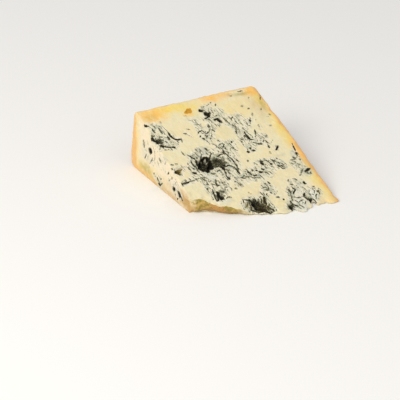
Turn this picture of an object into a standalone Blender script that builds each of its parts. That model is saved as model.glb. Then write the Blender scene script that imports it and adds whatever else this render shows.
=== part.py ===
"""A wedge of firm blue cheese, cut from a wheel and lying on one of its cut faces.

X runs along the axis of the wheel, Y from the broken tip to the curved rind, and Z up. The large cut face
slopes up from the tip to the back. The left end is a cut through the paste, and the back and the right end
are rind. The wedge is one solid, so it is one object. Lengths are in metres and angles in degrees.
"""

import functools
import math

import bmesh
import bpy
import numpy as np
from mathutils import Matrix, Vector, noise

# The sector that was cut from the wheel: its angle, its width at the tip, how far the top edge of its back
# is from the tip at the left and the right end, and how far each end leans off square.
WEDGE_ANGLE = 27.3
TIP_WIDTH = 0.1204
TOP_EDGE_REACH = (0.1152, 0.1212)
END_SKEW = (13.0, 15.5)
RIGHT_END_SWELL = 0.0014

# The curved rind at the back leans and swells out below its top edge.
BACK_LEAN = 0.0092
BACK_SWELL = 0.0010
FOOT_RADIUS = 0.0080
TOP_EDGE_RADIUS = 0.0016
RIND_CORNER_RADIUS = 0.0044

# The tip is broken off along a slanting line, which leaves a blunt crumbly edge on the left. Its lip
# overhangs what the wedge lies on.
BREAK_DEPTH = 0.0275
BREAK_WIDTH = 0.0690
TIP_INSET = 0.0015
TIP_THICKNESS = 0.0016
LIP_HEIGHT = 0.0034
LIP_UNDERCUT = 0.0050
LIP_START = 0.0060
FRONT_SWELL = 0.0008

# Lumps that stand out of the broken edge, and notches in it: place along the tip, half width and reach.
EDGE_SHAPES = (
    ("long lump", 0.0340, 0.0260, 0.0020),
    ("notch beside the veined lump", 0.0800, 0.0026, -0.0045),
    ("veined lump", 0.0854, 0.0058, 0.0046),
    ("crevice", 0.0984, 0.0048, -0.0066),
    ("dip right of the crevice", 0.1080, 0.0080, -0.0030),
)

# Holes in the paste: place along the tip, distance up the slope, half length, half width, turn and depth.
SLOPE_HOLES = (
    ("mould pocket", 0.0190, 0.0635, 0.0072, 0.0092, 0, 0.0074),
    ("arm of the pocket", 0.0285, 0.0612, 0.0100, 0.0058, -8, 0.0034),
    ("hollow above the pocket", 0.0194, 0.0730, 0.0095, 0.0065, 0, 0.0014),
    ("three-cornered hole", -0.0094, 0.0600, 0.0040, 0.0030, 30, 0.0030),
    ("upper left blot", -0.0165, 0.0958, 0.0054, 0.0027, -42, 0.0022),
    ("upper left streak", -0.0090, 0.0875, 0.0066, 0.0017, -14, 0.0016),
    ("curved crack", -0.0010, 0.0960, 0.0052, 0.0012, -50, 0.0014),
    ("top blot", 0.0360, 0.1130, 0.0030, 0.0030, -45, 0.0018),
    ("top right blot", 0.0438, 0.1045, 0.0030, 0.0020, -30, 0.0016),
    ("orange chip", 0.0203, 0.1200, 0.0036, 0.0020, 4, 0.0012),
    ("lower blot", 0.0194, 0.0288, 0.0026, 0.0038, 0, 0.0020),
    ("pits right of the middle", 0.0594, 0.0460, 0.0075, 0.0044, 20, 0.0010),
    ("mouldy hollow", 0.0490, 0.0125, 0.0125, 0.0078, 0, 0.0030),
    ("head of the crevice", 0.0960, 0.0110, 0.0034, 0.0050, 20, 0.0022),
)

# Holes in the left end: distance back from the tip, height, half length, half width, turn and depth.
LEFT_HOLES = (
    ("dark oval", 0.0920, 0.0304, 0.0026, 0.0030, 0, 0.0020),
    ("low blot", 0.0450, 0.0104, 0.0050, 0.0030, 25, 0.0016),
    ("low dot", 0.0537, 0.0113, 0.0022, 0.0030, 0, 0.0014),
)
HOLE_RAGGEDNESS = 0.35
HOLE_GRAIN = 0.0030
HOLE_STEEPNESS = 1.5

# Unevenness: the size of its bumps and their height. The knife left long waves in the cut faces, the paste
# is finely crumbly, the broken tip is coarse, and the rind is lumpy. The last two fade out inwards.
KNIFE_WAVES = (0.0240, 0.00055)
CRUMB = (0.0050, 0.00030)
BROKEN_CRUMB = (0.0078, 0.00230)
RIND_LUMPS = (0.0110, 0.00050)
BROKEN_DEPTH = 0.0090
RIND_DEPTH = 0.0050
SEED = 7

# How far under a face its holes still shift the points, how low the unevenness starts to fade towards the
# floor, and how low a point is that belongs to the flat underside.
HOLE_REACH = 0.0070
CALM_FOOT = 0.0030
FLAT_FOOT = 0.0004

# The grid that the sides are cut into, across, back and up, which is thinned out where it is flat. The
# broken edge is found in a few steps, each halving what is left.
GRID = (60, 54, 12)
SAME_PLACE = 1e-7
STEPS_TO_EDGE = 8
EDGE_CROWDING = 0.45
EDGE_SOFTENING = 2
MOST_TRIANGLES = 9600

PASTE_COLOUR = (0.80, 0.70, 0.45, 1.0)
PASTE_ROUGHNESS = 0.55
SHARP_FROM = 55

ANGLE = math.radians(WEDGE_ANGLE)
SLOPE_NORMAL = np.array((0, -math.sin(ANGLE), math.cos(ANGLE)))
SKEW = tuple(math.tan(math.radians(angle)) for angle in END_SKEW)


def clear_scene():
    for obj in list(bpy.data.objects):
        bpy.data.objects.remove(obj)


def left_end(y):
    return -SKEW[0] * y


def right_end(y):
    return TIP_WIDTH - SKEW[1] * y


def x_at(across, y):
    """Where this share of the wedge's width is, at this distance from the tip."""
    return left_end(y) + across * (right_end(y) - left_end(y))


def bump(distance):
    """A smooth bump, 1 in its middle and 0 from a distance of 1 outwards."""
    return max(1 - distance * distance, 0) ** 2


def rounding(distance, radius):
    """How far a rounded edge draws the surface in, at this distance from the edge."""
    inside = max(radius - distance, 0)
    return radius - math.sqrt(radius * radius - inside * inside)


def break_line(x):
    """How far the broken edge is from the tip line, at this place along it."""
    slant = BREAK_DEPTH * (1 - (x - left_end(BREAK_DEPTH)) / BREAK_WIDTH)
    lumps = sum(reach * bump((x - place) / half_width) for _, place, half_width, reach in EDGE_SHAPES)
    return max(slant, 0) + TIP_INSET - lumps


@functools.lru_cache(maxsize=None)
def break_at(across):
    """How far the broken edge is from the tip line, at this share of the width."""
    y = 0
    for _ in range(STEPS_TO_EDGE):
        y = (y + break_line(x_at(across, y))) / 2
    return y


def height_at(y):
    """The height of the sloping face, which keeps a little thickness at the tip."""
    return math.hypot(max(y, 0) * math.tan(ANGLE), TIP_THICKNESS)


def front_reach(across, up):
    """Where the front is at this share of the width and of the height: blunt, with an overhanging lip."""
    y = break_at(across)
    crease = height_at(y)
    lip = min(LIP_HEIGHT, crease / 2)
    overhang = min(max((x_at(across, y) - left_end(y)) / LIP_START, 0), 1) * lip / LIP_HEIGHT
    under_lip = max(1 - up * crease / lip, 0)
    return y + LIP_UNDERCUT * overhang * under_lip**2 - FRONT_SWELL * math.sin(math.pi * up)


def back_reach(across, up):
    """Where the curved rind is at this share of the width and of the height."""
    top = TOP_EDGE_REACH[0] + across * (TOP_EDGE_REACH[1] - TOP_EDGE_REACH[0])
    height = height_at(top)
    drawn_in = rounding(up * height, FOOT_RADIUS)
    drawn_in += rounding((1 - up) * height, TOP_EDGE_RADIUS)
    drawn_in += rounding((1 - across) * TIP_WIDTH, RIND_CORNER_RADIUS)
    return top + BACK_LEAN * (1 - up) + BACK_SWELL * math.sin(math.pi * up) - drawn_in


def wedge_point(across, back, up):
    """Where a point of the unit cube comes to lie in the wedge."""
    front, rear = front_reach(across, up), back_reach(across, up)
    y = front + back * (rear - front)
    top_front, top_rear = front_reach(across, 1), back_reach(across, 1)
    height = height_at(top_front + back * (top_rear - top_front))
    swell = RIGHT_END_SWELL * across**3 * math.sin(math.pi * back)
    return Vector((x_at(across, y) + swell, y, up * height))


def cut_cube():
    """A unit cube whose sides are cut into a grid, closer together at its edges."""
    shape = bmesh.new()
    bmesh.ops.create_cube(shape, size=1, matrix=Matrix.Translation((0.5, 0.5, 0.5)))
    for axis, cuts in enumerate(GRID):
        normal = Vector((0, 0, 0))
        normal[axis] = 1
        for cut in range(1, cuts):
            share = cut / cuts
            share -= EDGE_CROWDING * math.sin(2 * math.pi * share) / (2 * math.pi)
            everything = shape.verts[:] + shape.edges[:] + shape.faces[:]
            bmesh.ops.bisect_plane(
                shape, geom=everything, dist=SAME_PLACE, plane_co=normal * share, plane_no=normal
            )
    return shape


def wedge_mesh():
    shape = cut_cube()
    for vertex in shape.verts:
        vertex.co = wedge_point(*vertex.co)
    mesh = bpy.data.meshes.new("cheese_wedge")
    shape.to_mesh(mesh)
    shape.free()
    return mesh


def apply_modifiers(obj):
    """Gives the object the mesh that its modifiers make, and removes them."""
    graph = bpy.context.evaluated_depsgraph_get()
    mesh = bpy.data.meshes.new_from_object(obj.evaluated_get(graph))
    obj.modifiers.clear()
    obj.data = mesh


def soften(obj):
    """Rounds the edges off a little, as those of soft paste are."""
    modifier = obj.modifiers.new("soft edges", "SMOOTH")
    modifier.iterations = EDGE_SOFTENING
    apply_modifiers(obj)


def unevenness(points, size, height):
    """A smooth random shift for each point, the same for points that share a place."""
    return np.array([height * noise.noise_vector(Vector(point) / size) for point in points])


def near(distance, reach):
    """1 at a surface, fading to 0 at this distance from it."""
    return np.clip(1 - distance / reach, 0, 1)


def hole_depth(along, up, ragged, hole):
    """How deep one hole is at each point of a face, and 0 outside it."""
    _, place, reach, half_length, half_width, turn, depth = hole
    angle = math.radians(turn)
    across = along - place
    rise = up - reach
    a = (across * math.cos(angle) + rise * math.sin(angle)) / half_length
    b = (rise * math.cos(angle) - across * math.sin(angle)) / half_width
    fall = np.clip(HOLE_STEEPNESS * (1 - np.hypot(a, b) * (1 + ragged)), 0, 1)
    return depth * fall * fall * (3 - 2 * fall)


def carve(mesh):
    """Gives every surface its own relief: holes, knife waves, broken crumb and lumpy rind."""
    points = np.empty(len(mesh.vertices) * 3, np.float32)
    mesh.vertices.foreach_get("co", points)
    points = points.reshape(-1, 3).astype(np.float64)
    x, y, z = points.T
    under_slope = -points @ SLOPE_NORMAL
    from_left = x - left_end(y)
    from_rind = np.minimum(right_end(y) - x, TOP_EDGE_REACH[0] - y)
    from_break = y - np.array([break_line(place) for place in x])

    shift = unevenness(points, *KNIFE_WAVES) + unevenness(points, *CRUMB)
    shift += near(from_break, BROKEN_DEPTH)[:, None] * unevenness(points, *BROKEN_CRUMB)
    shift += near(from_rind, RIND_DEPTH)[:, None] * unevenness(points, *RIND_LUMPS)
    ragged = HOLE_RAGGEDNESS * unevenness(points, HOLE_GRAIN, 1)[:, 0]
    for hole in SLOPE_HOLES:
        depth = hole_depth(x, y / math.cos(ANGLE), ragged, hole) * near(under_slope, HOLE_REACH)
        shift -= depth[:, None] * SLOPE_NORMAL
    for hole in LEFT_HOLES:
        shift[:, 0] += hole_depth(y, z, ragged, hole) * near(from_left, HOLE_REACH)

    foot = z < FLAT_FOOT
    shift[:, 2] *= np.clip(z / CALM_FOOT, 0, 1)
    points += shift
    points[foot, 2] = 0
    mesh.vertices.foreach_set("co", points.ravel().astype(np.float32))
    mesh.update()


def thin_out(obj):
    """Drops the faces that flat areas don't need."""
    obj.data.calc_loop_triangles()
    modifier = obj.modifiers.new("fewer faces", "DECIMATE")
    modifier.ratio = MOST_TRIANGLES / len(obj.data.loop_triangles)
    apply_modifiers(obj)


def stand_on_origin(mesh):
    """Rests the flat cut face on the floor, with the middle of the wedge's box over the origin."""
    corners = [vertex.co.copy() for vertex in mesh.vertices]
    low = [min(corner[axis] for corner in corners) for axis in range(3)]
    high = [max(corner[axis] for corner in corners) for axis in range(3)]
    mesh.transform(Matrix.Translation((-(low[0] + high[0]) / 2, -(low[1] + high[1]) / 2, -low[2])))
    for vertex in mesh.vertices:
        if vertex.co.z < FLAT_FOOT:
            vertex.co.z = 0


def paste_material():
    """Ivory paste of a ripe cheese: pale, a little waxy and not shiny."""
    material = bpy.data.materials.new("ivory_paste")
    material.use_nodes = True
    shader = material.node_tree.nodes["Principled BSDF"]
    shader.inputs["Base Color"].default_value = PASTE_COLOUR
    shader.inputs["Roughness"].default_value = PASTE_ROUGHNESS
    shader.inputs["Metallic"].default_value = 0
    return material


def main():
    clear_scene()
    noise.seed_set(SEED)
    wedge = bpy.data.objects.new("cheese_wedge", wedge_mesh())
    bpy.context.scene.collection.objects.link(wedge)
    soften(wedge)
    carve(wedge.data)
    thin_out(wedge)
    stand_on_origin(wedge.data)
    wedge.data.materials.append(paste_material())
    wedge.data.shade_smooth()
    wedge.data.set_sharp_from_angle(angle=math.radians(SHARP_FROM))


main()
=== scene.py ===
import math

import bpy
import numpy as np
from mathutils import Matrix, Vector, noise


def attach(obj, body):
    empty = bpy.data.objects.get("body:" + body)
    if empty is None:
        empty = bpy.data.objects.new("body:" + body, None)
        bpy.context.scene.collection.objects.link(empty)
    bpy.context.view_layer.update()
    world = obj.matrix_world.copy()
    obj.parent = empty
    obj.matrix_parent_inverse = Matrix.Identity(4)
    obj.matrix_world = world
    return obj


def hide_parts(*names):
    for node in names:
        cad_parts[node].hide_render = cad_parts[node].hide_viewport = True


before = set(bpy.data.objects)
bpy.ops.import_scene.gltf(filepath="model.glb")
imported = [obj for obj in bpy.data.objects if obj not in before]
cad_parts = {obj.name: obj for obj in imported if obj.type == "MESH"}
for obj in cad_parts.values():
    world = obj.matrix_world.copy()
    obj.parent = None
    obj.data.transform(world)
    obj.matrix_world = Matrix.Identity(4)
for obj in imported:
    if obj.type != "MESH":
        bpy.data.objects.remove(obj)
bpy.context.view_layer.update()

# A wedge of firm, ripe blue cheese on its flat cut face: ivory paste, black-green veins and a dull rind.
# X runs along the axis of the wheel, Y from the broken tip to the rind, and Z up. Lengths are in metres
# unless a name or a comment says millimetres, and angles are in degrees.
MM = 0.001

# The sector that was cut from the wheel, with the sizes that its solid has.
WEDGE_ANGLE = 27.3
TIP_WIDTH = 0.1204
TOP_EDGE_REACH = (0.1152, 0.1212)
END_SKEW = (13, 15.5)
RIGHT_END_SWELL = 0.0014
BACK_LEAN = 0.0092
BACK_SWELL = 0.001
FOOT_RADIUS = 0.008
TOP_EDGE_RADIUS = 0.0016
RIND_CORNER_RADIUS = 0.0044
LEFT_TIP = Vector((-0.04623, -0.06276, 0))

# The broken tip: how far back it is broken off, and the lip that overhangs the floor.
BREAK_DEPTH = 0.0275
BREAK_WIDTH = 0.069
TIP_INSET = 0.0015
TIP_THICKNESS = 0.0016
LIP_HEIGHT = 0.0034
LIP_UNDERCUT = 0.005
LIP_START = 0.006
FRONT_SWELL = 0.0008
STEPS_TO_EDGE = 8

# Lumps that stand out of the broken edge, and notches in it: place along the tip, half width and reach.
EDGE_SHAPES = (
    ("long lump", 0.034, 0.026, 0.002),
    ("notch beside the veined lump", 0.08, 0.0026, -0.0045),
    ("veined lump", 0.0854, 0.0058, 0.0046),
    ("crevice", 0.0984, 0.0048, -0.0066),
    ("dip right of the crevice", 0.108, 0.008, -0.003),
)

# Holes in the paste, and lumps with a depth below 0: place along the tip, distance up the slope, half length,
# half width, turn and depth.
SLOPE_HOLES = (
    ("mould pocket", 0.0172, 0.0626, 0.0064, 0.0078, 0, 0.0078),
    ("arm of the pocket", 0.0285, 0.0625, 0.009, 0.0044, -10, 0.003),
    ("hollow above the pocket", 0.0194, 0.073, 0.0095, 0.0065, 0, 0.0014),
    ("three-cornered hole", -0.0086, 0.06, 0.003, 0.0022, -20, 0.0034),
    ("its upper corner", -0.0056, 0.0624, 0.0032, 0.0014, 40, 0.0016),
    ("upper left blot", -0.0172, 0.0958, 0.0048, 0.0022, -52, 0.0024),
    ("upper left streak", -0.0096, 0.0878, 0.0058, 0.0014, -20, 0.0018),
    ("top blot", 0.0358, 0.113, 0.003, 0.0022, -45, 0.0016),
    ("top right blot", 0.044, 0.1045, 0.0026, 0.0016, -50, 0.0014),
    ("upper left dot", -0.0222, 0.112, 0.0018, 0.0014, -20, 0.001),
    ("brown dot", 0.0312, 0.1182, 0.0018, 0.0014, 0, 0.0012),
    ("orange chip", 0.0206, 0.12, 0.0036, 0.002, 4, 0.0012),
    ("lower blot", 0.0206, 0.0292, 0.0016, 0.0036, 0, 0.0018),
    ("pits right of the middle", 0.0594, 0.046, 0.0075, 0.0044, 20, 0.0006),
    ("mouldy hollow", 0.0495, 0.0125, 0.0085, 0.007, 0, 0.0016),
    ("core of the hollow", 0.0486, 0.0122, 0.005, 0.0021, -52, 0.0034),
    ("head of the crevice", 0.095, 0.0106, 0.0018, 0.006, 24, 0.004),
    ("left of the veined lump", 0.0776, 0.004, 0.0016, 0.0052, 0, 0.0022),
    ("veined lump, raised", 0.0862, 0.0054, 0.006, 0.007, 0, -0.0018),
    ("lump right of the crevice, raised", 0.1018, 0.013, 0.0042, 0.006, 10, -0.001),
    ("long lump, raised", 0.07, 0.007, 0.0062, 0.007, 0, -0.0007),
)

# Holes in the left end: distance back from the tip, height, half length, half width, turn and depth.
LEFT_HOLES = (
    ("dark oval", 0.091, 0.0303, 0.0022, 0.0024, 0, 0.0018),
    ("low blot", 0.045, 0.0104, 0.003, 0.0014, 15, 0.0012),
    ("low dot", 0.0535, 0.011, 0.0016, 0.0018, 0, 0.0012),
)

# The borders of the holes: how ragged, by what grain, how steep and how far out, and how far below a face
# they still cut.
HOLE_RAGGEDNESS = 0.45
HOLE_GRAIN = 0.0026
HOLE_STEEPNESS = 2
HOLE_EDGE = 1.1
HOLE_REACH = 0.009

# Unevenness: the size of its bumps and their height. The first four are those of the solid, and the rest
# is the finer crumb that its faces are too large for.
KNIFE_WAVES = (0.024, 0.00055)
CRUMB = (0.005, 0.0003)
BROKEN_CRUMB = (0.0078, 0.0023)
RIND_LUMPS = (0.011, 0.0005)
BROKEN_DEPTH = 0.009
RIND_DEPTH = 0.005
SEED = 7
FINE_CRUMB = (0.0019, 0.00018)
FINE_BROKEN_CRUMB = (0.0026, 0.00075)
FINE_RIND = (0.0028, 0.00022)
FINE_RIND_DEPTH = 0.001
VEIN_DEPTH = 0.00045

# The relief fades towards the floor, sideways only in the last of it, and nothing but the foot touches it.
CALM_FOOT = 0.003
STILL_FOOT = 0.0008
LOWEST_OFF_FLOOR = 0.00001

# How many times the sides are cut, across, back and up, with about half a millimetre between the last cuts.
# Each way is cut twice, because one cut makes at most 101 pieces. The cuts crowd towards the edges, and the
# edges are then softened in so many steps. A point past RIND_SHARE of the width or depth is rind.
GRID = ((20, 10), (23, 10), (28, 2))
EDGE_CROWDING = 0.12
EDGE_SOFTENING = 8
TINY = 1e-6
RIND_SHARE = 0.9999

# Veins and blots of mould on the sloping face, in millimetres: half width, how dark, and the points of the
# path, each a place along the tip and a distance up the slope.
SLOPE_VEINS = (
    # Upper left: blots at the cut end, a curved crack, and wisps round a grey-green patch.
    (1.15, 1, -22.3, 112.2, -21.2, 111.6),
    (0.7, 0.5, -20, 111.2, -19.4, 110.9),
    (0.7, 0.5, -16.8, 112.2, -15, 109.5, -14.2, 107.8),
    (0.7, 0.6, -17.2, 107.6, -16.6, 105.4),
    (0.9, 0.6, -10.8, 107.8, -10.5, 105, -9.8, 101.5),
    (1, 0.3, -8.6, 113.8, -7.6, 112.6),
    (1.05, 1, -4.6, 101.6, -4, 98.5, -2.8, 95.6, -1, 93.4),
    (0.75, 1, -1, 93.4, 1.5, 92.6, 4, 92.2),
    (1.25, 1, -19.4, 99, -18.4, 97, -16.6, 96, -15.8, 92.8),
    (0.8, 0.7, -19.8, 98, -21, 95.8),
    (1.8, 0.6, -14.4, 95.6, -13, 92.2),
    (1.3, 1, -14.8, 89.6, -11, 88.2, -8.6, 87),
    (1, 0.95, -8.6, 87.2, -6.4, 86, -3.6, 84.8),
    (0.6, 0.8, -14.2, 87.8, -13, 86.2),
    (0.6, 0.5, -13.4, 84.4, -11.4, 83.8),
    (0.6, 0.6, -12.6, 98.8, -10.6, 98),
    (0.7, 0.55, -9.6, 92.8, -8.6, 92),
    (0.6, 0.7, -6, 97, -5.4, 94),
    (0.4, 0.5, -8.8, 97.6, -7.4, 96.4),
    (0.6, 0.5, -11.6, 96, -10.8, 94.4),
    (0.6, 0.5, 4.6, 90.4, 4.2, 88.6),
    (0.8, 0.6, 8.2, 97.6, 10, 96.8),
    (0.4, 0.4, 10, 96.8, 13, 94.2, 15.6, 91.4),
    (0.6, 0.5, 12, 101.6, 14.8, 100.4),
    (0.6, 0.3, 14.6, 115.4, 16.8, 114.6),
    (0.7, 0.5, 0.4, 79.2, 2, 75.4),
    # Top: a chain of blots that runs down to the right, with fine wisps above it.
    (1.5, 1, 30.6, 118.4, 32, 117.8),
    (0.7, 0.6, 34.6, 121.6, 35.6, 121.4),
    (0.6, 0.4, 38.2, 122, 39.8, 123),
    (0.6, 0.4, 41.6, 124, 42.6, 124.6),
    (0.6, 0.5, 45.4, 120.2, 46.2, 121.6),
    (1.4, 1, 34.4, 115, 36.2, 113.4, 37.6, 113.8),
    (1.2, 1, 36.8, 112.4, 36.2, 110.6),
    (0.8, 0.8, 35.4, 110, 32.4, 109.2),
    (0.5, 0.6, 38.4, 109.4, 40, 107.8),
    (0.8, 0.9, 39.6, 106.4, 42, 106.8, 43.8, 106.2),
    (1.3, 0.95, 43.6, 105, 45, 102.6),
    (0.45, 0.45, 41, 118, 40.9, 115, 41.5, 113, 40.8, 110.6),
    (0.6, 0.45, 33, 121, 34.2, 118.4, 35.2, 116.2),
    (0.5, 0.4, 38.6, 119.6, 38.2, 116.4, 39.4, 113.4),
    (0.8, 0.45, 48.8, 106.6, 49.8, 104.5, 50.5, 101.5, 52, 98.5),
    (0.6, 0.55, 55.4, 104, 56.6, 105),
    (0.7, 0.7, 61.6, 100.2, 61.9, 100.9),
    (0.8, 0.4, 62.5, 98.5, 63.8, 95),
    (0.8, 0.48, 54, 98, 55.5, 96, 57, 93, 58.2, 91.4),
    (0.7, 0.75, 55.2, 91, 55.9, 89.2),
    (0.5, 0.45, 57, 98.8, 58.6, 96.4),
    (0.7, 0.42, 31.4, 103, 33, 100.5, 33.6, 98),
    (0.8, 0.65, 35, 96, 36, 94.2),
    (0.5, 0.4, 23.8, 104.2, 25.6, 103.8),
    (0.5, 0.45, 20.8, 107.1, 22.4, 106.7),
    (0.5, 0.4, 42.8, 100, 42, 97.4),
    (0.9, 0.85, 71.4, 99, 71.6, 98.2),
    (0.6, 0.5, 72.3, 101.4, 71.5, 98.6, 71, 94.6),
    (0.6, 0.5, 27.6, 91.6, 27.4, 88.6),
    # Left of the middle: fine loops and dots.
    (0.55, 0.75, 20.8, 95.4, 22.4, 96.9, 25.6, 97.3, 26.8, 94.6, 28.2, 93.2),
    (0.5, 0.65, 28.4, 93, 30, 94.4, 32, 95.8, 33, 97),
    (0.75, 0.8, 21.8, 91.2, 22.4, 92.2),
    (0.9, 0.85, 24.2, 89.1, 24.8, 88.8),
    (0.5, 0.55, 28.4, 90.4, 29.4, 91.8),
    (0.6, 0.55, 32.2, 89.8, 33, 91.2),
    (0.7, 0.6, 30.6, 88, 31, 87.2),
    (0.6, 0.65, 27, 86.4, 27.4, 84.6, 28, 83.2),
    (0.5, 0.55, 30.6, 82.4, 32, 80.8),
    # Faint dots on the upper right.
    (1.1, 0.36, 69, 114.6, 69.6, 115.2),
    (0.9, 0.42, 74, 111.3, 74.8, 111),
    (0.9, 0.36, 75.6, 105.6, 75.2, 103.2),
    (0.9, 0.36, 76.8, 93, 77.4, 90.2),
    (0.7, 0.3, 78.2, 123, 77.8, 121),
    (0.7, 0.3, 77, 97.8, 77.1, 97.2),
    (1, 0.32, 90.8, 101.4, 91.4, 100.6),
    (1.1, 0.32, 87.4, 90.4, 88.4, 89.8),
    (0.8, 0.42, 85.4, 109.6, 84.8, 107.2),
    (0.7, 0.55, 89.3, 121.8, 88, 118.4),
    (0.6, 0.45, 90.2, 125, 89.4, 122.8),
    (0.6, 0.7, 70.6, 131.2, 72.6, 130.4, 75.2, 130.6),
    (0.7, 0.4, 62, 127.6, 63.4, 127.2),
    # Strands that frame the mould pocket.
    (0.8, 0.85, 5.4, 74.4, 7.5, 73.2, 9.6, 71.4, 11.2, 68.8),
    (1.2, 0.95, 11.2, 68.8, 12.4, 66.6, 11.8, 63.6),
    (0.8, 0.75, 6.8, 69.6, 6.2, 67, 6.8, 64.4, 8.4, 62.6, 9.4, 61),
    (0.7, 0.65, 12.4, 71.2, 13.2, 72),
    (0.5, 0.6, 17, 80.2, 17.6, 77.6, 17.1, 75.8),
    (0.55, 0.85, 17.8, 73.6, 16.4, 71.4, 15.4, 69.6, 14.6, 67.4),
    (0.7, 0.5, 13.4, 79.4, 13.8, 78),
    (0.7, 0.75, 6, 61.2, 6.6, 60.6),
    (1.1, 0.85, 4.8, 57.2, 6.4, 56),
    (0.5, 0.6, 8.8, 58.4, 10.2, 55.8),
    (0.5, 0.65, 9.8, 54.4, 11.4, 52.4),
    (0.8, 0.55, 22.4, 79.6, 24, 77.6, 25.4, 77),
    (0.6, 0.5, 25.6, 75.4, 26.4, 74.8),
    (0.6, 0.9, 26.2, 73.8, 25, 71.4, 24.2, 69, 22.6, 67),
    (1.2, 1, 17.4, 70.2, 20.4, 70, 23.4, 68.4),
    (1.8, 0.68, 17.2, 67.8, 20.4, 67.4, 23, 67),
    (1.7, 1, 22.8, 66.6, 23, 63, 22.4, 59.6, 22.8, 57.8),
    (2, 1, 20.6, 60.4, 18.4, 57.6, 17.2, 55.4),
    (2.1, 0.84, 12.8, 66, 13.2, 62, 15.4, 59.4),
    (2, 0.95, 15.4, 62, 18.6, 60.2),
    (1.2, 0.9, 15.2, 67.2, 15.8, 64.4),
    (1.4, 0.85, 10.8, 67.6, 11.6, 64, 12.6, 61),
    (3.6, 0.58, 25.6, 65, 28.6, 64.6, 31.2, 63.2),
    (2.7, 0.5, 31.6, 63, 34.4, 60.8),
    (2.6, 0.54, 26, 60.8, 29.8, 59.6, 32, 59.8),
    (0.8, 0.62, 26.8, 66.4, 27.6, 62.8, 27, 59.8),
    (0.7, 0.62, 30.4, 64.4, 30.2, 61, 31.4, 58.2),
    (1.1, 0.85, 25, 58.8, 27.4, 58.3),
    (1.3, 0.95, 30.4, 57.4, 32, 56.4, 32.4, 54.4),
    (0.8, 0.9, 33, 60.6, 34.6, 58.6, 33.6, 57),
    (0.7, 0.8, 28.6, 66.6, 30.4, 65, 31.6, 63.4),
    (0.6, 0.45, 34.4, 63.6, 36.8, 60.4, 38.6, 58.8),
    (0.7, 0.85, 34.4, 56.2, 37, 57.2, 38.6, 57, 41, 55.4),
    (0.7, 0.7, 30.4, 68.8, 32, 69.4, 34.6, 69.6, 36, 68.6),
    (0.7, 0.65, 19.4, 53.6, 21, 52.4, 23.6, 51.8),
    (0.6, 0.7, 26.4, 53.8, 28.6, 54.1),
    (0.6, 0.6, 9, 51.6, 10.6, 49, 12.4, 47.6, 13.6, 45.4),
    (0.5, 0.45, 12, 50.6, 14, 49.4, 15.4, 47.2),
    # The fine looped chain right of the middle.
    (0.55, 0.7, 35.8, 79.6, 37.4, 80.8, 39.6, 80.5),
    (0.6, 0.65, 36, 77.4, 37, 75.6, 38.2, 75.2),
    (0.6, 0.8, 38.8, 76.8, 40.2, 78, 40.9, 79.6),
    (0.6, 0.65, 40.4, 74.9, 41.4, 76.2),
    (0.55, 0.6, 43.4, 79.6, 44.4, 78.2),
    (0.55, 0.75, 37.4, 74, 37.8, 71.6, 38.3, 70.2),
    (0.55, 0.75, 38.8, 69.4, 40, 67.2),
    (0.6, 0.5, 40.8, 72.4, 41.6, 69.8),
    (0.5, 0.6, 39, 65, 39.6, 64),
    (0.5, 0.5, 42, 68, 42.4, 66.6),
    (0.7, 0.75, 41.6, 64.8, 42.4, 63, 43.1, 60.8, 43.6, 58),
    (0.8, 0.7, 43.6, 58, 44.6, 55.4),
    (0.7, 0.8, 42, 54.4, 43.1, 50.8, 44.2, 47.2),
    (0.6, 0.55, 45, 77.6, 46.2, 75, 48, 73, 49.8, 71.2),
    (0.5, 0.4, 50.4, 79.2, 51.2, 76.8),
    (0.5, 0.8, 38, 76, 38.6, 71, 40.6, 66.4, 42.4, 62, 43.6, 57.6, 44.2, 52, 44.8, 46.4),
    (0.7, 0.85, 48.2, 79.6, 48.8, 81),
    (1, 0.45, 34.4, 53.4, 36.4, 52.6),
    (1, 0.6, 32.4, 54, 33, 51, 32.6, 48),
    (1, 0.75, 32.6, 47.4, 33.4, 45.2, 34, 43.6),
    (0.7, 0.5, 35.2, 53, 36, 49.4),
    (0.5, 0.4, 36.6, 49.8, 38.4, 46.4, 40.4, 42.4),
    # The strong streak in the upper middle and its tail.
    (0.7, 0.8, 62.6, 88.2, 63, 85.6),
    (0.9, 0.9, 63, 85, 64.2, 82.4, 65, 80.4),
    (0.6, 0.8, 65, 80.2, 67.6, 79),
    (0.6, 0.6, 61.2, 84.6, 62.6, 83.2),
    (0.9, 0.55, 57.4, 82.2, 59.2, 80.8),
    (0.6, 0.6, 65.4, 77.4, 68.4, 75.6, 70.6, 74.2),
    (0.9, 0.75, 70.8, 74, 73.4, 72.8),
    (0.6, 0.7, 76, 74.4, 76.6, 76.6),
    (0.8, 0.7, 72.6, 88.2, 71.8, 84.8),
    (0.6, 0.55, 70.3, 81.2, 71.3, 83),
    (0.9, 0.85, 59, 68.2, 59.4, 67.4),
    (0.9, 0.9, 61.4, 71.2, 62.4, 70.4),
    (0.9, 0.92, 63.8, 68.1, 65.6, 67.8),
    (0.5, 0.5, 58.8, 71.4, 59.4, 69.6),
    (0.8, 0.55, 55.8, 59.2, 56.2, 58.4),
    (0.9, 0.82, 78.6, 69, 79, 67.6),
    (0.5, 0.45, 78.4, 71.4, 78.6, 69.4),
    (0.8, 1, 84.2, 63.4, 85.4, 65.4, 86.6, 67.2),
    (0.5, 0.3, 84.6, 74.6, 82.2, 71.4),
    (1, 0.4, 79.6, 80.6, 80.6, 80.1),
    (0.8, 0.35, 77.6, 62.8, 78.6, 61.6),
    # The chain of dots that climbs down to the lower right.
    (1.4, 0.95, 67, 54, 67.4, 52.8),
    (0.7, 0.7, 65.6, 56.4, 68, 55.6, 69.8, 55),
    (0.6, 0.7, 70.4, 55.8, 72.2, 55.4, 73.6, 53.8, 74.4, 51.8),
    (0.9, 0.92, 74.9, 50.9, 75.8, 50.5),
    (0.6, 0.8, 76.4, 55.2, 78.4, 54, 79.3, 52.6),
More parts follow.
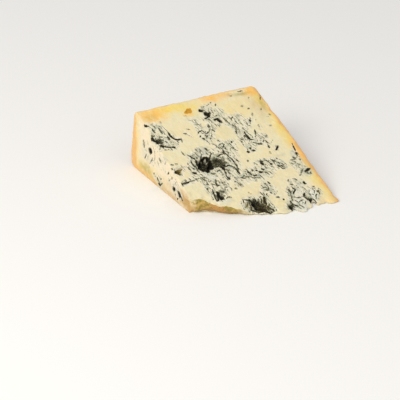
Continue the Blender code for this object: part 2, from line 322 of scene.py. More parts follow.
    (0.55, 0.8, 80, 51.8, 81.4, 51.4, 82.6, 50.2, 83, 48.8),
    (0.9, 0.8, 83.4, 47.6, 84.6, 47),
    (0.9, 0.72, 80.6, 48.2, 81.6, 47.2),
    (0.5, 0.5, 77.8, 51.2, 79.4, 50.8),
    (1, 0.92, 52.3, 47.4, 53.2, 46.4),
    (0.6, 0.6, 51.4, 50.4, 52, 48.4),
    (0.8, 0.7, 56, 49.2, 56.4, 48.4),
    (0.5, 0.7, 60, 51.4, 60.2, 49.8),
    (0.8, 0.8, 59.8, 47.6, 61, 47),
    (1.2, 1, 62.8, 45.2, 64, 44.6),
    (0.8, 0.8, 65.4, 48.2, 66.6, 46.8),
    (0.6, 0.5, 69.4, 48.6, 69.8, 47.4),
    (0.7, 0.65, 53.2, 45.4, 54.8, 43.8),
    (0.9, 0.85, 56.6, 42.8, 58.6, 43),
    (0.7, 0.6, 53.4, 41, 56.6, 40.2, 60.2, 39.4),
    (0.5, 0.5, 56.8, 38.8, 57, 37.8),
    # Right edge: a thin upright line that ends in a dot, and a winged dash below it.
    (0.65, 1, 100.5, 67.6, 100.4, 64, 101, 61, 101, 58.4),
    (1, 1, 101, 57.2, 101.3, 56.2),
    (0.6, 0.5, 101.4, 55, 101, 53.4),
    (0.8, 0.4, 93.2, 51.4, 96.4, 51, 99.2, 52.4),
    (0.9, 0.4, 96.4, 49, 97.8, 48),
    (0.8, 0.35, 93.6, 48.2, 94.4, 46.8),
    (1.2, 0.9, 102.8, 37.6, 105, 38.2, 107.2, 39.4),
    (1.3, 0.38, 102.6, 36.4, 104.8, 35.2, 106.6, 34.4),
    (0.9, 0.42, 101, 39.6, 99.4, 38.2, 97.8, 36.4),
    (0.5, 0.6, 97, 35, 96.4, 34),
    (0.7, 0.5, 106.8, 35.8, 106, 33.8),
    # Below the pocket: strokes that run down to the broken edge.
    (1.6, 0.95, -9.6, 60.4, -8.4, 59.4),
    (1, 0.9, -8.4, 59.6, -7.8, 57.6),
    (1.5, 0.52, -7.6, 60.8, -6.4, 61.8),
    (0.8, 0.52, -6.2, 62.4, -4, 63.4),
    (0.9, 0.5, -12, 68.4, -11, 68.2),
    (0.7, 0.4, -8.4, 68.6, -6.2, 68),
    (0.8, 0.6, -13, 64.6, -12.5, 64),
    (0.9, 0.52, -8.8, 48.6, -8.4, 46.4),
    (1.1, 0.6, -8.4, 47.8, -5.6, 48.2, -2.6, 49),
    (0.7, 0.95, -4.6, 48.5, -2.2, 49.3),
    (0.5, 0.8, -2, 49.4, 2.6, 49.7),
    (0.45, 0.5, 2.6, 49.7, 8, 50.4),
    (0.8, 0.7, 11.2, 39.2, 11.8, 38),
    (0.6, 0.5, 12, 37, 12.2, 35.6),
    (0.65, 0.9, 15.6, 37.4, 15.9, 33.8, 16.1, 30, 16.8, 26.2),
    (0.9, 0.9, 18.6, 34.2, 18.9, 31, 18.4, 28.4, 17.8, 26.6),
    (1.5, 1, 19.8, 32.4, 20.8, 29.4, 21.6, 27),
    (1.8, 0.42, 21.6, 33.4, 24, 33.2),
    (1.5, 0.36, 22.8, 31.4, 23.4, 29.4),
    (0.7, 0.55, 16.6, 42.4, 19.2, 41.2),
    (0.8, 0.7, 21.6, 45.6, 21, 42.2, 21.8, 39.6, 23.6, 39.6),
    (0.6, 0.65, 26.4, 42.6, 26.7, 39.4),
    (0.5, 0.4, 27.8, 41.6, 30.2, 41.2),
    (0.7, 0.5, 27.4, 37.4, 28.6, 36.4),
    (0.9, 0.5, 35.6, 33.6, 36.4, 33),
    (0.8, 0.5, 40.6, 37, 41.4, 36),
    (0.55, 0.8, 42.8, 43.6, 45, 42.8, 46.6, 41.8, 48.6, 42.2),
    (0.5, 0.7, 48.8, 42.4, 49.1, 43.4, 47.2, 44.4, 45.2, 43.6),
    (0.7, 0.75, 66.2, 34.6, 66.9, 32.6),
    (0.6, 0.75, 58.8, 29.2, 61.4, 29.6, 64.6, 28.4),
    (0.7, 0.5, 62, 27.2, 63.6, 25.6),
    (0.7, 0.8, 64.7, 23.5, 65.3, 23),
    (0.7, 0.55, 55.4, 25.2, 56.4, 23, 57.8, 21.8),
    (0.7, 0.65, 60.2, 21.8, 60.9, 23),
    (1, 0.42, 26.6, 26.8, 29.2, 26.2),
    (0.9, 0.3, 45.6, 27.2, 46.2, 25.8),
    # The mouldy hollow at the broken edge.
    (3.2, 0.8, 46, 16.4, 48.6, 11.8, 52.8, 7.4),
    (2.7, 0.66, 50.4, 15.6, 53.4, 11.4),
    (2.6, 0.55, 54.6, 12.8, 57, 7.4),
    (0.5, 0.8, 38.8, 21.2, 37.6, 17.8),
    (0.5, 0.6, 36.2, 19, 35.6, 17.6),
    (0.7, 0.75, 40.2, 20.6, 41.8, 19.8),
    (0.6, 0.6, 40.6, 18, 39.8, 15.4),
    (0.6, 0.6, 42.6, 18.4, 41.8, 15.4),
    (1.2, 0.8, 43.2, 19.8, 45.2, 17.4),
    (0.7, 0.8, 47.6, 20.4, 47.2, 17.6),
    (1.9, 1, 46.4, 15.8, 48.2, 12.2, 50.6, 9.2),
    (0.8, 0.8, 50.2, 17.6, 51.2, 14, 53, 11),
    (0.6, 0.6, 51.8, 19.4, 51.6, 17.4),
    (0.9, 0.75, 49, 19, 49.8, 16),
    (0.8, 0.7, 54.2, 19.2, 54, 16),
    (1.1, 0.85, 57.5, 19.8, 56.3, 16.6, 57.2, 12.6),
    (0.8, 0.7, 54.4, 16.4, 54.8, 12.6, 56.6, 9.4),
    (1, 0.75, 58.4, 11, 59.2, 7.4),
    (0.8, 0.7, 43.4, 13.6, 43, 10.8),
    (1.7, 0.36, 41.6, 17.4, 43.4, 12.6),
    (1.2, 0.6, 43.4, 10.2, 46.4, 7.8, 50, 6.2),
    (1.5, 0.86, 50.8, 7.8, 54.6, 4.4, 58.4, 2.6),
    (0.7, 0.5, 59.4, 13.6, 60.6, 10.6),
    (0.8, 0.7, 60, 8.8, 61.6, 5.8, 63, 3.6),
    (0.9, 0.7, 58.8, 5.2, 60.8, 2.8),
    (0.5, 0.5, 63, 9.4, 63.4, 7),
    (0.5, 0.6, 64.4, 5.6, 64.9, 3.6),
    (0.8, 0.85, 68.6, 17.7, 69.8, 17.3),
    (0.7, 0.8, 73.4, 14.4, 74.3, 14),
    # The veined lumps on both sides of the crevice.
    (0.8, 0.6, 84.6, 27.2, 85.4, 26.8),
    (0.7, 0.85, 81.2, 23.2, 82.3, 20.6, 82.5, 18.6),
    (0.5, 0.7, 82, 18.2, 81.2, 15.6, 80.6, 12.6, 80.8, 9.6),
    (0.7, 0.9, 87.6, 21.6, 85.6, 20, 84.2, 17.6),
    (0.5, 0.6, 83.4, 19.4, 84.2, 20.8),
    (0.5, 0.72, 82, 14.8, 84.8, 13.9, 88, 13.2, 91.8, 13.2),
    (0.9, 0.95, 94.2, 16.2, 93, 14.8, 92.6, 13.4),
    (1.6, 1, 93.2, 13.6, 94.5, 11.6, 96.1, 8.8, 96.7, 5.8),
    # Painted shadow: a dark stroke for the shaded gap under the lower edge.
    (1, 1, 96, 8, 98.2, 6.6, 100.6, 5.8),
    (0.8, 0.5, 90.2, 32.2, 92.6, 30.2),
    (1.1, 1, 97.2, 27, 98, 25.6),
    (0.6, 0.6, 94.6, 22.6, 96, 20),
    (0.7, 0.6, 103.6, 21.4, 104.5, 20.8),
    (0.5, 0.75, 98.9, 18.6, 98, 15.4, 98.5, 12, 98.2, 9.6),
    (0.5, 0.75, 101.8, 18.8, 102.7, 16.2, 102.2, 13.6),
    (0.6, 0.7, 104.8, 16.4, 106.6, 13.6, 106.8, 11.8),
    (0.5, 0.8, 103.8, 12.6, 102.4, 11.2, 101.2, 8),
    # Painted shadow: a dark stroke for the shaded gap under the lower edge.
    (0.8, 0.8, 99.2, 9, 100, 7),
    (0.5, 0.7, 99.6, 14.2, 101, 12.4),
    (0.5, 0.74, 82, 10.8, 83.6, 8.6, 84.7, 6.8),
    (0.55, 0.75, 84.7, 6.8, 86.8, 8.2, 89.8, 9.9),
    (0.5, 0.74, 84.7, 6.8, 85.2, 4.2, 86.6, 2.2),
    (0.65, 0.8, 80.6, 7.4, 81.4, 5, 83.2, 3.4),
    (0.42, 0.5, 86.6, 10.6, 88.4, 7.4, 89, 4.6),
    (0.5, 0.7, 86.4, 3.6, 87.8, 0.6),
    (0.5, 0.7, 83.4, 2.4, 84, 0.2),
    (1.6, 0.95, 77.8, 6, 78.2, 3, 77.4, 0.6),
    (1.5, 0.75, 75.8, 4.8, 77, 2.2),
    (1, 0.6, 78.6, 11, 79.4, 7.6, 79.6, 4),
    (0.6, 0.7, 75, 6.2, 76.6, 6.6),
    (0.5, 0.6, 90.4, 4.2, 91.4, 6.6),
)

# Veins and blots on the left end, in millimetres: half width, how dark, and the points of the path, each a
# distance back from the tip and a height.
LEFT_VEINS = (
    (2.5, 1, 91.6, 30, 90.8, 30.6),
    (1.3, 1, 88.4, 43.2, 87.6, 45.4),
    (1.5, 0.38, 101.8, 35.4, 101.4, 33, 101, 30.4),
    (0.8, 0.5, 101.4, 17.4, 99.6, 20.4, 98, 23.8),
    (0.8, 0.45, 92.6, 16.8, 90.8, 20, 89.2, 22.4, 88.4, 25),
    (0.5, 0.35, 96.4, 20, 95.2, 24.4),
    (0.7, 0.28, 86.2, 38.6, 84.6, 34, 83.6, 29, 84.8, 23.4),
    (0.5, 0.35, 85.4, 26.2, 83.8, 20.2),
    (1.5, 0.42, 76.2, 30.2, 74.4, 28.6),
    (0.5, 0.3, 79.4, 26, 77.4, 20.4),
    (0.5, 0.3, 96, 38.4, 94.6, 34.6),
    (0.8, 0.65, 63.2, 21.8, 61.4, 24.4),
    (0.5, 0.4, 68.2, 27, 66.4, 32),
    (0.8, 0.5, 57.2, 29.6, 56, 30.8),
    (0.5, 0.45, 57.8, 34, 54, 35.6),
    (0.7, 0.5, 57.4, 19.2, 56.6, 21.8),
    (0.6, 0.4, 60.6, 15.6, 59.4, 18.4),
    (0.5, 0.35, 52.4, 16.2, 51, 19.4),
    (1.6, 0.95, 54.2, 10.4, 53.4, 12),
    (1.9, 1, 46.2, 11.4, 44.6, 9.4),
    (1.1, 0.85, 43.4, 10.8, 41.6, 8.6),
    (0.8, 0.6, 41.4, 8.4, 40.2, 7),
    (0.7, 0.75, 48.6, 3.6, 47.2, 5.6),
    (0.7, 0.6, 51.6, 7.6, 51, 5.2),
    (0.5, 0.45, 50, 13, 48.6, 10.4),
    (1, 0.7, 80.2, 8.4, 79.4, 6.4),
    (1.2, 0.95, 78, 4.2, 75.8, 2.8),
    (0.8, 0.8, 75.2, 3.8, 72.2, 7),
    (0.6, 0.6, 75.4, 9.8, 73.2, 11.6),
    (0.6, 0.45, 87.4, 8.8, 84.2, 11.6),
    (0.6, 0.3, 95, 12, 92.6, 13),
    (0.5, 0.3, 70, 12.4, 68.6, 15.6),
)

# Where short faint veins are scattered over the sloping face, in millimetres: place along the tip, distance
# up the slope, half length, half width, how many, and how dark.
SLOPE_SCATTER = (
    ("upper left", -12, 97, 13, 15, 29, 0.42),
    ("below the chip", 24, 103, 14, 13, 18, 0.36),
    ("under the top chain", 42, 108, 12, 12, 18, 0.4),
    ("upper middle", 58, 100, 11, 12, 20, 0.4),
    ("round the pocket", 16, 64, 17, 18, 40, 0.45),
    ("looped chain", 41, 68, 10, 18, 33, 0.36),
    ("streak tail", 68, 80, 12, 9, 18, 0.32),
    ("lower chain", 66, 49, 22, 8, 31, 0.42),
    ("below the pocket", 18, 42, 13, 13, 33, 0.44),
    ("lower middle", 40, 40, 14, 9, 22, 0.32),
    ("mouldy hollow", 48, 17, 11, 5, 13, 0.4),
    ("above the lumps", 88, 26, 11, 7, 15, 0.36),
    ("lump right of it", 102, 14, 6, 6, 3, 0.34),
    ("right border", 98, 52, 7, 10, 26, 0.31),
    ("upper right dots", 80, 104, 14, 22, 13, 0.24),
    ("lower right", 62, 28, 7, 6, 13, 0.28),
    ("left middle", -4, 62, 10, 18, 11, 0.28),
)
LEFT_SCATTER = (
    ("middle of the end", 84, 26, 20, 12, 29, 0.2),
    ("front of the end", 50, 14, 12, 8, 15, 0.3),
    ("foot of the end", 78, 6, 10, 4, 10, 0.34),
)

# The flow of the curd, which short veins and streaks follow: its turn on the two faces, and how the streaks
# are drawn out. Then the spread of the short veins' turn, bend, length, half width and darkness.
FLOW_TURN = -62
LEFT_FLOW_TURN = 72
FLOW_STRETCH = (3.2, 0.8, 1.4)
FLOW_SPREAD = 24
BEND_SPREAD = 25
SHORT_VEIN = (2, 7)
SHORT_VEIN_WIDTH = (0.28, 0.48)
DARKNESS_SPREAD = (0.6, 1.3)

# Curd that no short vein enters, in millimetres: place along the tip, distance up the slope, half length and
# half width.
CLEAN_CURD = (
    (44.5, 93.5, 8, 6.5),
    (78, 36, 9, 6.5),
    (-1, 39, 11, 8.5),
    (78, 110, 12, 14),
    (2, 108, 11, 8),
    (-11, 80, 6, 5),
    (-9, 92.5, 3.5, 4),
    (-4, 51.5, 7, 4.5),
    (94.5, 51, 4, 4),
    (43, 116, 3, 4),
    (48, 33, 8, 5),
    (70, 9, 6, 6),
    (-2, 82, 6, 5),
    (17.5, 49.5, 4.5, 3),
)

# Soft patches of colour on the sloping face, in millimetres: place along the tip, distance up the slope,
# half length, half width, turn and strength.
SLOPE_PATCHES = {
    "yellow": (
        ("top strip", -6, 123, 14, 6, 1, 0.8),
        ("bright top edge", 7, 125, 17, 4.5, 2, 1.2),
        ("round the chip", 22, 123, 12, 5, 0, 0.8),
        ("upper right corner", 86, 121, 5, 11, 10, 0.8),
        ("right border", 96, 82, 6, 22, 14, 0.6),
        ("left of the upright line", 98, 64, 2.2, 4, 0, 0.5),
        ("below the chip", 20, 116.5, 8, 3, 0, 0.5),
        ("lower right border", 109, 24, 5, 22, 14, 0.5),
        ("under the top edge", 60, 112, 16, 12, 0, 0.3),
        ("clean middle", 45, 93, 8, 8, 0, 0.16),
        ("long lump", 70, 9, 6, 5, 0, 0.2),
    ),
    "orange": (
        ("top left", -14, 121.5, 15, 9, 2, 0.75),
        ("under the chip", 19, 116.2, 4, 2, 0, 0.6),
        ("lower right corner", 113, 3, 8, 5, -10, 0.25),
        ("top middle", 48, 129, 13, 5, 2, 0.9),
        ("top right", 83, 129, 9, 5, 3, 1.2),
        ("right edge", 105, 58, 5, 14, 14, 1.2),
        ("right edge, upper", 97, 96, 3, 18, 14, 0.4),
        ("lower right edge", 115, 22, 3, 20, 14, 0.35),
    ),
    "olive": (
        ("top left", -15, 119.5, 6, 4, 0, 0.25),
        ("under the brown line", 72, 127.5, 7, 2.2, 1, 0.55),
        ("upper right edge", 88, 113, 2.2, 8, 12, 0.4),
        ("three-cornered hole", -7, 60.6, 2.6, 2.2, 20, 1),
        ("right border", 103, 46, 3, 8, 12, 0.35),
        ("side of the second lump", 105, 12, 2, 4, 0, 0.7),
        ("below the loops", 40, 36, 4, 4, 0, 0.25),
        ("below the end of the arm", 33.5, 50, 2.5, 6, 0, 0.4),
        ("beside the long lump", 75, 6, 3, 4, 0, 0.3),
    ),
    "grey": (
        ("upper left", -9, 93.5, 3.5, 4.5, 0, 0.9),
        ("upper left blots", -16, 95, 4, 5, 0, 0.7),
        ("right of the lobes", 27, 70, 3, 3, 0, 0.7),
        ("lobes above the pocket", 20, 75.5, 5.5, 5, 0, 1.1),
        ("left of the pocket", 8, 66, 3.5, 6, 0, 0.6),
        ("below the pocket", 18, 49.5, 6.5, 4.5, 0, 0.9),
        ("below the arm", 25, 54, 5, 3, 0, 0.9),
        ("below the end of the arm", 33.5, 51, 3.5, 6, 0, 0.9),
        ("right of the pocket", 39, 60, 4.5, 10, 0, 0.5),
        ("looped chain", 40, 75, 6, 6, 0, 0.5),
        ("top wisps", 36, 118, 5, 5, 0, 0.6),
        ("clean middle", 45, 93, 8, 8, 0, 0.12),
        ("lower left strokes", 24, 22.5, 7, 3.5, 0, 0.35),
        ("streak", 59, 87, 4, 4, 0, 0.2),
        ("lower chain", 60, 45, 8, 5, 0, 0.5),
        ("above the lumps", 93, 26, 4, 4, 0, 0.7),
        ("left of the veined lump", 78, 9, 2.5, 5, 0, 0.9),
        ("right border", 98, 56, 2.5, 4, 0, 0.7),
        ("smear", 85.5, 57.5, 5, 1.6, 0, 0.4),
        ("round the winged dash", 104, 36.5, 4.5, 4, 0, 0.9),
        ("round the hollow", 50, 16, 12, 8, 0, 0.5),
        ("above the hollow", 45, 17, 5, 4, 0, 0.8),
    ),
    "white": (
        ("veined lump", 86, 4.4, 6.2, 9, 0, 1.6),
        ("lump right of the crevice", 101, 13, 4.4, 5.6, 10, 1.3),
        ("between them", 89, 18.5, 5, 4.5, 0, 0.8),
        ("upper left", -9.5, 92.5, 3, 4, 0, 0.7),
        ("in the pocket's lobes", 20, 76, 3.5, 3.5, 0, 0.35),
        ("under the pocket", 14, 53.5, 4, 3.2, 0, 0.7),
        ("below the lower blot", 25, 22.5, 4, 3, 0, 0.5),
        ("mint curd below the pocket", 17.5, 49.5, 4.5, 3.5, 0, 0.75),
        # The glint in the pocket: pale curd with a painted highlight on the pocket's lit wall.
        ("glint in the pocket", 20.2, 67.6, 3, 1.2, -32, 0.8),
        ("right border", 98.5, 56, 2, 3.5, 0, 0.6),
    ),
    "bare": (
        # The glint in the pocket: pale curd with a painted highlight on the pocket's lit wall.
        ("glint in the pocket", 20.2, 67.6, 2.6, 0.8, -32, 0.64),
        ("lobe above the pocket", 20.5, 72.5, 2, 1.6, 0, 0.55),
        ("left lobe", 15.6, 74.5, 0.9, 2.4, 0, 0.7),
        ("loop left of the pocket", 8.4, 66.6, 1, 2.6, 10, 0.8),
        ("under the pocket", 13.2, 54.8, 2.4, 1.6, -30, 0.8),
    ),
    "brown": (
        ("three-cornered hole", -6.6, 61.2, 3.6, 3.2, 20, 1.2),
        ("mouldy hollow", 53, 9, 6, 6, 0, 0.35),
        ("brown line at the top edge", 68, 130, 10, 2.2, 2, 1.2),
        ("upper right edge", 89, 120, 3, 8, 10, 1.1),
        ("right side of the upper right", 85, 108, 3, 4, 0, 0.7),
        ("right of the hollow", 57, 13, 5, 9, 0, 0.3),
        ("left of the hollow", 38, 14, 5, 4, 0, 0.7),
        ("side of the second lump", 106, 13, 1.6, 4, 0, 0.9),
        ("below the loops", 38, 35, 5, 4, 0, 0.6),
        ("lower middle", 46, 26, 2, 2, 0, 0.8),
    ),
    "tan": (
        ("end of the brown line", 62, 128.5, 3, 2, 0, 0.5),
        ("left of the olive stain", -10, 25, 5, 5, 0, 0.45),
        ("upper right edge", 89, 122, 1.6, 5, 10, 0.6),
        ("upper right", 83, 111, 7, 14, 12, 0.3),
    ),
    "chip": (
        ("its middle", 19.4, 119, 3.9, 1.8, 8, 1.6),
        ("its right side", 21.5, 119.6, 2, 3, -12, 1.6),
        ("its top", 20, 120.8, 1.9, 1.7, 0, 1.6),
    ),
}

# The same on the left end: distance back from the tip, height, half length, half width, turn and strength.
LEFT_PATCHES = {
    "yellow": (
        ("outer edge", 114, 34, 7, 34, 0, 0.4),
        # Painted warm reflection and painted shade along the foot.
        ("foot", 98, 7, 24, 8, 0, 0.6),
    ),
    "orange": (
        ("outer edge", 117, 34, 3.5, 34, 0, 0.8),
        # Painted warm reflection and painted shade along the foot.
        ("foot", 104, 0, 26, 6, 0, 0.8),
    ),
    "olive": (
        # Painted warm reflection and painted shade along the foot.
        ("foot", 99, 9, 10, 4.5, 0, 0.6),
    ),
    "grey": (
        ("back of the end", 98, 24, 7, 9, 0, 0.3),
        ("front of the end", 48, 10, 7, 5, 0, 0.4),
        ("foot of the end", 76, 6, 6, 4, 0, 0.4),
    ),
    "tan": (
        ("front corner", 33, 7, 15, 8, 20, 1.4),
        ("lower front", 58, 9, 18, 7, 0, 0.3),
        # Painted warm reflection and painted shade along the foot.
        ("foot", 70, 1, 50, 6, 0, 0.6),
    ),
}
PATCH_EDGE = 1.4

# How veins are drawn: they wander by waves of this size and reach, and are this much wider than listed.
# Mouldiness falls off from the middle to the edge of a vein and beyond, between these limits, and slender
# veins taper to their ends.
VEIN_WAVES = ((0.0016, 0.00035), (0.0042, 0.0006))
VEIN_SPREAD = 1.08
VEIN_STEEPNESS = 1.3
VEIN_EDGE = 1.32
DEEPEST_IN_VEIN = 1.15
FAR_FROM_VEIN = -1.5
TAPER = 0.35
SLENDER = 8
HAZE_REACH = 4.5
HAZE_STRENGTH = 0.5
LEFT_HAZE = 0.75

# How far below a face its mould and its patches still colour the paste, where the dry front is, and how deep
# a pit of 1 is.
MOULD_DEPTH = 0.004
PATCH_DEPTH = 0.003
WHITE_DEPTH = 0.01
FRONT_DEPTH = 0.0012
BELOW_CREASE = 0.995
FRONT_HALF = 0.5
PIT_UNIT = 0.003

# What the mesh stores beside the patches.
STORED = ("mould", "haze", "pit", "from_top_edge", "from_right_edge", "from_left_end")
STORED += ("front", "along", "height")

ANGLE = math.radians(WEDGE_ANGLE)
SLOPE_NORMAL = np.array((0, -math.sin(ANGLE), math.cos(ANGLE)))
SKEW = tuple(math.tan(math.radians(angle)) for angle in END_SKEW)
FLOW = (Matrix.Rotation(ANGLE, 3, "X") @ Matrix.Rotation(math.radians(FLOW_TURN), 3, "Z")).to_euler()

# Noises of the paste: grain in millimetres, detail, roughness, and whether the curd's flow draws them out.
# Real crumb is finer than the last ones, which are as coarse as they need to be to show.
PASTE_NOISES = {
    "pressed curd": (16, 3, 0.55, False),
    "edge wobble": (12, 3, 0.55, False),
    "patch breaks": (6, 3, 0.55, False),
    "dull curd": (4.5, 3, 0.55, False),
    "front stains": (4, 3, 0.55, False),
    "haze breaks": (3.5, 3, 0.55, False),
    "stain wobble": (3, 3, 0.55, False),
    "swirls": (2.6, 1, 0.4, True),
    "lumps": (2.4, 3, 0.55, False),
    "dusky streaks": (2.2, 3, 0.6, True),
    "swirl gaps": (2, 1, 0.4, True),
    "crumbs": (1.6, 3, 0.55, False),
    "pale streaks": (1.5, 3, 0.6, True),
    "vein grain": (1.3, 4, 0.65, False),
    "mould streaks": (1.1, 2, 0.5, True),
    "vein crumbs": (0.9, 3, 0.6, False),
    "fine grain": (0.8, 3, 0.55, False),
}

# Values made of the noises, of what the mesh stores and of earlier values, in this order: name, operation
# and what it joins. A name in brackets with numbers is a smooth range of it: low, high, start and end.
# Distances are in metres, but along and height are in millimetres.
PASTE_VALUES = (
    ("left end", "RANGE", ("from_left_end", 0.0008, 0)),
    ("wobble", "SUBTRACT", "edge wobble", 0.5),
    ("wobble", "MULTIPLY", "wobble", 0.009),
    ("from top", "ADD", "from_top_edge", "wobble"),
    ("from right", "ADD", "from_right_edge", "wobble"),
    ("broken", "RANGE", ("patch breaks", 0.3, 0.65, 0.55, 1.15)),
    ("haze", "MULTIPLY", "haze", ("from_right_edge", 0.0005, 0.007, 0.2, 1)),
    ("veined", "RANGE", ("haze", 0.15, 0.6, 0.15, 0.85)),
    ("ragged haze", "MULTIPLY", "haze", ("haze breaks", 0.35, 0.7, 0.3, 1.2)),
    # The rims of the veins crumble, and grain breaks them up, but less in white curd.
    ("crumbly", "SUBTRACT", "vein crumbs", 0.5),
    ("crumbly", "MULTIPLY", "crumbly", 1.5, ("mould", -0.7, 0.1)),
    ("grain", "SUBTRACT", "vein grain", 0.5),
    ("grain", "MULTIPLY", "grain", ("white", 0.3, 0.9, 0.8, 0.25)),
    ("grain", "ADD", "grain", 1),
    ("mould", "MAXIMUM", "mould", ("pit", 1.1, 1.9, 0, 0.72)),
    ("mould", "MULTIPLY", "mould", "grain"),
    ("mould", "ADD", "mould", "crumbly"),
    # A net of hair-fine veins between the larger ones.
    ("swirl", "SUBTRACT", "swirls", 0.5),
    ("swirl", "ABSOLUTE", "swirl", 0),
    ("net", "MULTIPLY", ("swirl", 0.055, 0.012), ("swirl gaps", 0.44, 0.56), ("haze", 0.32, 0.75, 0, 0.66)),
    ("net", "MULTIPLY", "net", ("left end", 0, 1, 1, 0.25), ("white", 0.2, 0.8, 1, 0.15)),
    ("mould", "MAXIMUM", "mould", "net"),
    # Bare patches take the mould away: pale curd, and in the pocket a painted highlight.
    ("mould", "MULTIPLY", "mould", ("bare", 0.05, 0.65, 1, 0.25)),
    ("front", "MULTIPLY", "front", ("along", 42, 30)),
    ("ragged along", "ADD", "along", ("stain wobble", 0.3, 0.7, -2.5, 2.5)),
    ("roughness", "RANGE", ("mould", 0.1, 0.8, 0.46, 0.8)),
    ("lumps", "MULTIPLY", "lumps", 0.6),
    ("fine grain", "MULTIPLY", "fine grain", 0.4),
    ("relief", "ADD", "lumps", "fine grain"),
)

# Colours of the paste, in this order: name, ground, and the layers over it. A layer is a hex colour or the
# name of an earlier one, and then the values and smooth ranges whose product is its share.
PASTE_COLOURS = (
    # Veins are grey-green at their rims, then olive, and black-green in the middle. Some are brown.
    ("vein rim", "#88866a", ("#a08a4a", "brown")),
    ("vein body", "#47452c", ("#6b5922", "brown")),
    ("vein heart", "#161004", ("#3a2e0c", "brown")),
    # The broken front: tan at the left corner and darker towards the floor, then stained olive-yellow, and
    # brown under its lip, where the brown is painted shade with a painted warm reflection.
    ("dry corner", "#e6d2a0", ("#c9a468", ("height", 11, 2))),
    (
        "dry front",
        "#cdaa58",
        ("#9a8430", ("front stains", 0.4, 0.6)),
        ("#c08f48", ("ragged along", 7, 11), ("ragged along", 24, 19)),
        ("#5f5210", ("crumbs", 0.56, 0.7, 0, 0.75)),
        # Painted shade with a painted warm reflection: brown low on the front, under the overhanging lip.
        ("#8a6034", ("height", 6, 1.5, 0, 0.85)),
        ("dry corner", ("ragged along", -1, -5)),
    ),
    (
        "colour",
        "#ece2bb",
        # Cream with paler and yellower patches, as curd that was pressed together.
        ("#eedfb3", ("pressed curd", 0.38, 0.62)),
        ("#e2d9ac", ("dull curd", 0.45, 0.75, 0, 0.3)),
        ("#f4ecd0", ("crumbs", 0.5, 0.8, 0, 0.25)),
        # Painted light: the left end, which the light falls on, is painted lighter and pinker.
        ("#f7e6c8", "left end", 0.7),
        # Under the rind the paste turns yellow, then orange-tan at the very edge, with patches of its own. At
        # the foot of the left end the same layers are painted shade and a painted warm reflection.
        ("#f2d596", ("from top", 0.008, 0.001, 0, 0.6)),
        ("#efcf7c", ("from right", 0.0085, 0.001, 0, 0.75)),
        ("#f6da74", "yellow", "broken"),
        ("#fdc568", "orange", "broken"),
        ("#a79a48", "olive", "broken"),
        ("#c9a466", "tan", "broken"),
        ("#efbd76", ("from top", 0.0026, 0, 0, 0.9)),
        ("#e5b06c", ("from right", 0.0024, 0, 0, 0.9)),
        ("#d29a1c", ("chip", 0.55, 0.85)),
        # Curd that has gone grey-green, and curd that is still white, which also carries the painted
        # highlight in the mould pocket.
        ("#b3b59c", "grey", "broken"),
        ("#e3e4d8", "white", "broken"),
        # Fine dusky and pale streaks along the flow of the curd.
        ("#c3bc96", ("dusky streaks", 0.5, 0.7), "veined"),
        ("#fbf7e4", ("pale streaks", 0.52, 0.7), "veined"),
        # Round the veins the curd is paler, with a grey-green haze of young mould and streaks along its flow.
        ("#e9e4cf", ("haze", 0.25, 0.75, 0, 0.55)),
        ("#8e8e76", ("mould streaks", 0.58, 0.74), ("haze", 0.28, 0.8, 0.05, 0.85)),
        ("#b2b8a2", ("ragged haze", 0.5, 1.05, 0, 0.8)),
        ("vein rim", ("mould", 0.1, 0.36, 0, 0.8)),
        ("vein body", ("mould", 0.32, 0.58, 0, 0.92)),
        ("vein heart", ("mould", 0.6, 0.86, 0, 0.97)),
        ("dry front", "front", 0.94),
    ),
)

# The bump's strength and height, and the shine and glow of moist fat: index of refraction, specular level,
# and the weight, radius and scale of the light that it scatters.
PASTE_BUMP = (0.5, 0.0006)
MOIST_FINISH = (1.45, 0.3, 0.12, (1, 0.72, 0.4), 0.0016)

# The same tables for the rind, orange-tan under a grey bloom, brown spots and a mouldy cast.
RIND_NOISES = {
    "mouldy cast": (20, 4, 0.6, False),
    "orange": (14, 4, 0.6, False),
    "bloom": (6, 4, 0.6, False),
    "wear": (4, 4, 0.6, False),
    "spots": (2.6, 4, 0.6, False),
    "relief": (1.8, 4, 0.6, False),
}
RIND_VALUES = (("roughness", "RANGE", ("wear", 0.3, 0.7, 0.62, 0.88)),)
RIND_COLOURS = (
    (
        "colour",
        "#dcae72",
        ("#c99460", ("orange", 0.4, 0.62)),
        ("#d3c2a4", ("bloom", 0.5, 0.66, 0, 0.7)),
        ("#93693c", ("spots", 0.58, 0.72, 0, 0.7)),
        ("#a9a58e", ("mouldy cast", 0.56, 0.72, 0, 0.5)),
    ),
)
RIND_BUMP = (0.7, 0.0008)

# The inputs that a kind of node is given, in this order, and the output that is used.
SOCKETS = {
    "TexCoord": ((), "Object"),
    "Attribute": ((), "Fac"),
    "Mapping": (("Vector", "Rotation", "Scale"), "Vector"),
    "TexNoise": (("Vector", "Scale", "Detail", "Roughness"), "Fac"),
    "MapRange": (("Value", "From Min", "From Max", "To Min", "To Max"), "Result"),
    "Math": ((0, 1), 0),
    "Mix": ((0, 6, 7), 2),
    "Bump": (("Height", "Strength", "Distance"), "Normal"),
    "BsdfPrincipled": (
        ("Base Color", "Roughness", "Normal", "IOR", "Specular IOR Level")
        + ("Subsurface Weight", "Subsurface Radius", "Subsurface Scale"),
        "BSDF",
    ),
    "OutputMaterial": (("Surface",), None),
}

FLOOR_SIZE = 8
FLOOR_COLOUR = "#fbfaf8"
FLOOR_ROUGHNESS = 0.9

# The camera: its direction and distance from a point on the floor, and its lens in millimetres.
CAMERA_AZIMUTH = -20
CAMERA_ELEVATION = 32.1
CAMERA_DISTANCE = 1.4348
CAMERA_TARGET = Vector((-0.0372, -0.0167, 0))
CAMERA_LENS = 148.5
NEAREST_SEEN = 0.01

